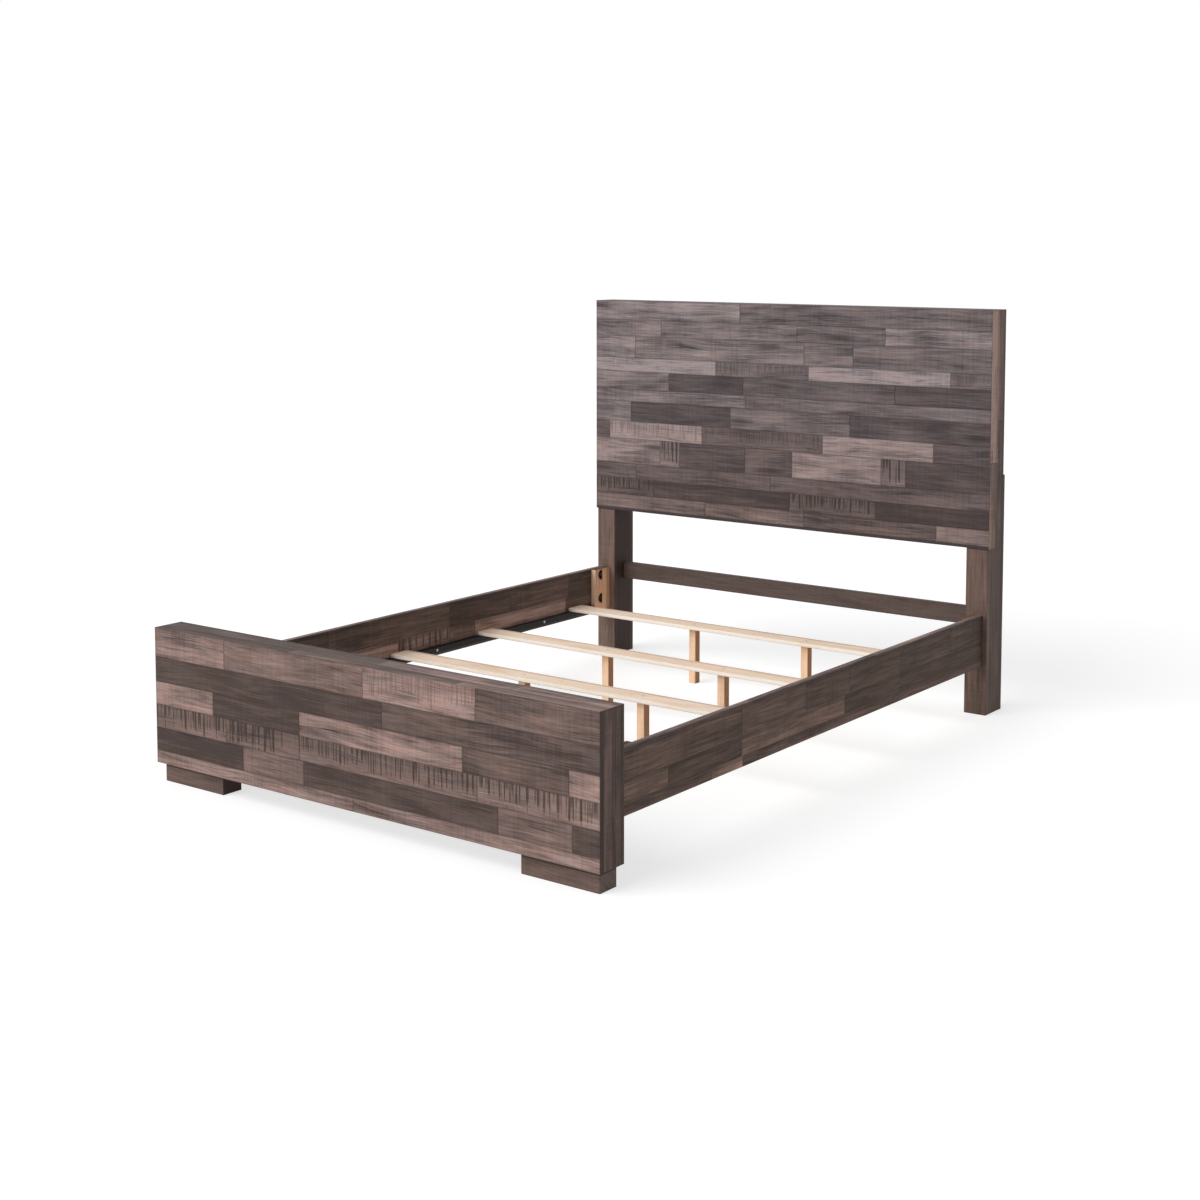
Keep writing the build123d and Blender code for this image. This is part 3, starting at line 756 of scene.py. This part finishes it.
def sink(shape, cut_lines, is_inside, depth):
    """Cuts the flat top of a head along lines, each a direction and a distance, and sinks the inside."""
    for direction, distance in cut_lines:
        top = [face for face in shape.faces if face.normal.z > LIES_FLAT]
        parts = set(top)
        for face in top:
            parts.update(face.edges)
            parts.update(face.verts)
        bmesh.ops.bisect_plane(
            shape, geom=list(parts), dist=FASTENER_MERGE, plane_co=direction * distance, plane_no=direction
        )
    flat = [face for face in shape.faces if face.normal.z > LIES_FLAT]
    recess = [face for face in flat if is_inside(face.calc_center_median())]
    extruded = bmesh.ops.extrude_face_region(shape, geom=recess)
    floor = [part for part in extruded["geom"] if isinstance(part, bmesh.types.BMVert)]
    bmesh.ops.translate(shape, verts=floor, vec=(0, 0, -depth))
    bmesh.ops.delete(shape, geom=recess, context="FACES")
    bmesh.ops.recalc_face_normals(shape, faces=shape.faces[:])


def countersunk_screw(length):
    """A screw with a flat cross-slotted head, whose top is at z = 0."""
    screw = turned([
        (0, 0),
        (SCREW_HEAD_RADIUS - 2 * HEAD_RIM, 0),
        (SCREW_HEAD_RADIUS, -HEAD_RIM),
        (SCREW_RADIUS, SCREW_RADIUS - SCREW_HEAD_RADIUS - HEAD_RIM),
        (SCREW_RADIUS, 2 * SCREW_RADIUS - length),
        (0, -length),
    ])
    distances = (-CROSS_REACH, -CROSS_HALF_WIDTH, CROSS_HALF_WIDTH, CROSS_REACH)
    lines = [(DIRECTIONS[axis], distance) for axis in (X, Y) for distance in distances]

    def in_cross(point):
        narrow, wide = sorted((abs(point.x), abs(point.y)))
        return narrow < CROSS_HALF_WIDTH and wide < CROSS_REACH

    sink(screw, lines, in_cross, CROSS_DEPTH)
    return screw


def socket_bolt(length):
    """A bolt with a round head and a hexagon socket, its head's top at z = 0."""
    bolt = turned([
        (0, 0),
        (PANEL_BOLT_HEAD_RADIUS - BOLT_CHAMFER, 0),
        (PANEL_BOLT_HEAD_RADIUS, -BOLT_CHAMFER),
        (PANEL_BOLT_HEAD_RADIUS, -PANEL_BOLT_HEAD_HEIGHT),
        (BOLT_RADIUS, -PANEL_BOLT_HEAD_HEIGHT),
        (BOLT_RADIUS, BOLT_CHAMFER - length),
        (BOLT_RADIUS - BOLT_CHAMFER, -length),
        (0, -length),
    ])
    flats = [Vector((math.cos(turn), math.sin(turn), 0)) for turn in (0, math.pi / 3, 2 * math.pi / 3)]
    lines = [(flat, distance) for flat in flats for distance in (-SOCKET_HALF_WIDTH, SOCKET_HALF_WIDTH)]

    def in_socket(point):
        return max(abs(point.dot(flat)) for flat in flats) < SOCKET_HALF_WIDTH

    sink(bolt, lines, in_socket, SOCKET_DEPTH)
    return bolt


def threaded_rod(length):
    """A rod with ring threads over its length, its upper end at z = 0."""
    root_radius = BOLT_RADIUS - THREAD_DEPTH
    profile = [(0, 0)]
    for number in range(int(length // THREAD_PITCH)):
        profile.append((root_radius, -number * THREAD_PITCH))
        profile.append((BOLT_RADIUS, -(number + 0.5) * THREAD_PITCH))
    return turned(profile + [(root_radius, -length), (0, -length)])


def fastener_set(node, make, facing, material, slot, body="frame", proud=0.0):
    """Makes one fastener at each of a CAD node's solids, with its head on the side that it faces."""
    axis, sign = facing
    places = solids_of(node)
    first_low, first_high = places[0]
    shape = make(first_high[axis] - first_low[axis])
    mesh = bpy.data.meshes.new(node)
    shape.to_mesh(mesh)
    shape.free()
    turn = DIRECTIONS[Z].rotation_difference(DIRECTIONS[axis] * sign).to_matrix().to_4x4()
    fasteners = bmesh.new()
    for low, high in places:
        head = (low + high) / 2
        head[axis] = high[axis] + proud if sign > 0 else low[axis] - proud
        placed = mesh.copy()
        placed.transform(Matrix.Translation(head) @ turn)
        fasteners.from_mesh(placed)
        bpy.data.meshes.remove(placed)
    bpy.data.meshes.remove(mesh)
    finish_piece(fasteners, node + "_steel", body, material, slot, node)


fastener_set("headboard_bolts", socket_bolt, BACK, zinc_steel, "zinc_steel")
fastener_set("headboard_strip_screws", countersunk_screw, BACK, zinc_steel, "zinc_steel")
fastener_set("footboard_foot_screws", countersunk_screw, UNDER, zinc_steel, "zinc_steel")
fastener_set("left_ledger_screws", countersunk_screw, RIGHT, zinc_steel, "zinc_steel", proud=HEAD_RIM)
fastener_set("right_ledger_screws", countersunk_screw, LEFT, zinc_steel, "zinc_steel", proud=HEAD_RIM)
for place in ("head", "middle", "foot"):
    fastener_set(
        f"{place}_slat_screws", countersunk_screw, TOP, zinc_steel, "zinc_steel", f"{place}_slat", HEAD_RIM
    )
fastener_set("rail_bolts", threaded_rod, BACK, black_steel, "black_steel")
for node in ("rail_washers", "rail_nuts"):
    finish_piece(eased_shape(node, NUT_ROUND), node + "_steel", "frame", black_steel, "black_steel", node)

# CAD nodes that stay, inside the boards
INNER_NODES = {
    "headboard_bolt_inserts": zinc_steel,
    "rail_bolt_inserts": zinc_steel,
    "headboard_cross_rail_dowels": beech,
    "headboard_centre_rib": raw_poplar,
    "headboard_left_stile": raw_poplar,
    "headboard_right_stile": raw_poplar,
    "footboard_centre_rib": raw_poplar,
    "footboard_left_stile": raw_poplar,
    "footboard_right_stile": raw_poplar,
}
for node, material in INNER_NODES.items():
    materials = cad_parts[node].data.materials
    materials.clear()
    materials.append(material)


# Stage: a pale floor, a white surround and soft light from the front left
WHITE = (1, 1, 1, 1)
FLOOR_SIZE = 60.0
FLOOR_DROP = 0.2 * MM
FLOOR_PAINT = "#c0c0c0"
FLOOR_GLOW = 0.62
FLOOR_BOUNCE_PAINT = "#f2f2f2"
SURROUND_LIGHT = 0.4
KEY_LIGHT = 2.1
KEY_SOFTNESS = math.radians(50)
KEY_DIRECTION = Vector((0.33, 0.68, -0.65))


def seen_directly(tree):
    """1 for rays of the camera, of reflections and through clear pieces, and 0 for the rest."""
    seen = 0.0
    for ray in ("Is Camera Ray", "Is Glossy Ray", "Is Transmission Ray"):
        is_ray = add(tree, "LightPath", out=ray)
        seen = add(tree, "Math", {0: seen, 1: is_ray}, operation="ADD", use_clamp=True)
    return seen


def pale_floor():
    """A pale floor that looks white where it is lit, and takes a soft shadow."""
    material, tree, shader = new_material(
        "pale_floor", Roughness=0.9, Specular_IOR_Level=0.0, Emission_Color=WHITE
    )
    seen = seen_directly(tree)
    paints = {6: linear(FLOOR_BOUNCE_PAINT), 7: linear(FLOOR_PAINT)}
    paint = add(tree, "Mix", {0: seen, **paints}, 2, data_type="RGBA")
    tree.links.new(paint, shader.inputs["Base Color"])
    glow = add(tree, "MapRange", {0: seen, 3: 0.0, 4: FLOOR_GLOW})
    tree.links.new(glow, shader.inputs["Emission Strength"])
    return material


floor_mesh = bpy.data.meshes.new("floor")
floor_shape = bmesh.new()
bmesh.ops.create_grid(floor_shape, x_segments=1, y_segments=1, size=FLOOR_SIZE / 2)
bmesh.ops.translate(floor_shape, verts=floor_shape.verts[:], vec=(0, 0, -FLOOR_DROP))
floor_shape.to_mesh(floor_mesh)
floor_shape.free()
floor_mesh.materials.append(pale_floor())
floor = bpy.data.objects.new("floor", floor_mesh)
bpy.context.scene.collection.objects.link(floor)
floor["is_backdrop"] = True

world = bpy.data.worlds.new("studio")
world.use_nodes = True
bpy.context.scene.world = world
surround = world.node_tree.nodes["Background"]
surround.inputs["Color"].default_value = WHITE
seen = seen_directly(world.node_tree)
surround_strength = add(world.node_tree, "MapRange", {0: seen, 3: SURROUND_LIGHT, 4: 1.0})
world.node_tree.links.new(surround_strength, surround.inputs["Strength"])

key = bpy.data.lights.new("key_light", "SUN")
key.energy = KEY_LIGHT
key.angle = KEY_SOFTNESS
key_lamp = bpy.data.objects.new("key_light", key)
key_lamp.rotation_euler = KEY_DIRECTION.to_track_quat("-Z", "Y").to_euler()
bpy.context.scene.collection.objects.link(key_lamp)

# Camera at the photograph's angle, in an image of 1200 x 1200 pixels
IMAGE_PIXELS = 1200
CAMERA_PLACE = (3.5078, -4.6882, 1.6172)
CAMERA_TURN = 0.6394
CAMERA_DIP = 0.0878
FOCAL_PIXELS = 1863.4
CENTRE_COLUMN = 615.1
CENTRE_ROW = 400.0
SENSOR_WIDTH = 36.0

camera_data = bpy.data.cameras.new("camera")
camera_data.sensor_width = SENSOR_WIDTH
camera_data.lens = FOCAL_PIXELS / IMAGE_PIXELS * SENSOR_WIDTH
camera_data.shift_x = 0.5 - CENTRE_COLUMN / IMAGE_PIXELS
camera_data.shift_y = CENTRE_ROW / IMAGE_PIXELS - 0.5
camera = bpy.data.objects.new("camera", camera_data)
camera.location = CAMERA_PLACE
camera.rotation_euler = (math.pi / 2 - CAMERA_DIP, 0, CAMERA_TURN)
bpy.context.scene.collection.objects.link(camera)
bpy.context.scene.camera = camera
bpy.context.scene.view_settings.view_transform = "Standard"

boxes = {"cad": cad_box, "visual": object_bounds()}
{name: [list(corner) for corner in box] for name, box in boxes.items()}
